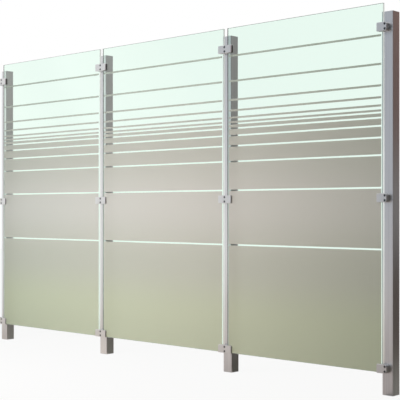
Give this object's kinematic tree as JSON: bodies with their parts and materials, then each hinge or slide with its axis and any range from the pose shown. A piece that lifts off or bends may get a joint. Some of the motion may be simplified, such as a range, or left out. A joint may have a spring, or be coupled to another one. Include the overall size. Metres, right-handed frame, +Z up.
{
  "type": "glass balustrade panel",
  "caption": "Run of tall glass panes with a graded sandblasted stripe pattern, clamped in front of square stainless posts; closes off or screens an edge.",
  "frame": {"origin": "on the ground under the middle of the whole run's box", "axes": "+X along the run, +Y from the glass towards the posts, +Z up"},
  "size_m": [3.197, 0.087, 1.912],
  "materials": {
    "posts": "long brushed grain along the post",
    "clamps": "fine satin",
    "screws": "bright turned",
    "nuts": "plain turned",
    "panes": "clear polished glass with sandblasted bands",
    "pads": "moulded black sheet"
  },
  "bodies": {
    "root": {"post_1": "posts", "post_cap_1": "posts", "post_2": "posts", "post_cap_2": "posts", "post_3": "posts", "post_cap_3": "posts", "post_4": "posts", "post_cap_4": "posts", "pane_1": "panes", "pane_2": "panes", "pane_3": "panes", "clamp_base_1_top": "clamps", "clamp_cover_1_top": "clamps", "clamp_pads_1_top": "pads", "clamp_base_1_middle": "clamps", "clamp_cover_1_middle": "clamps", "clamp_pads_1_middle": "pads", "clamp_base_1_bottom": "clamps", "clamp_cover_1_bottom": "clamps", "clamp_pads_1_bottom": "pads", "clamp_base_2_top": "clamps", "clamp_cover_2_top": "clamps", "clamp_pads_2_top": "pads", "clamp_base_2_middle": "clamps", "clamp_cover_2_middle": "clamps", "clamp_pads_2_middle": "pads", "clamp_base_2_bottom": "clamps", "clamp_cover_2_bottom": "clamps", "clamp_pads_2_bottom": "pads", "clamp_base_3_top": "clamps", "clamp_cover_3_top": "clamps", "clamp_pads_3_top": "pads", "clamp_base_3_middle": "clamps", "clamp_cover_3_middle": "clamps", "clamp_pads_3_middle": "pads", "clamp_base_3_bottom": "clamps", "clamp_cover_3_bottom": "clamps", "clamp_pads_3_bottom": "pads", "clamp_base_4_top": "clamps", "clamp_cover_4_top": "clamps", "clamp_pads_4_top": "pads", "clamp_base_4_middle": "clamps", "clamp_cover_4_middle": "clamps", "clamp_pads_4_middle": "pads", "clamp_base_4_bottom": "clamps", "clamp_cover_4_bottom": "clamps", "clamp_pads_4_bottom": "pads", "clamp_screws": "screws", "rivet_nuts": "nuts"}
  },
  "joints": []
}
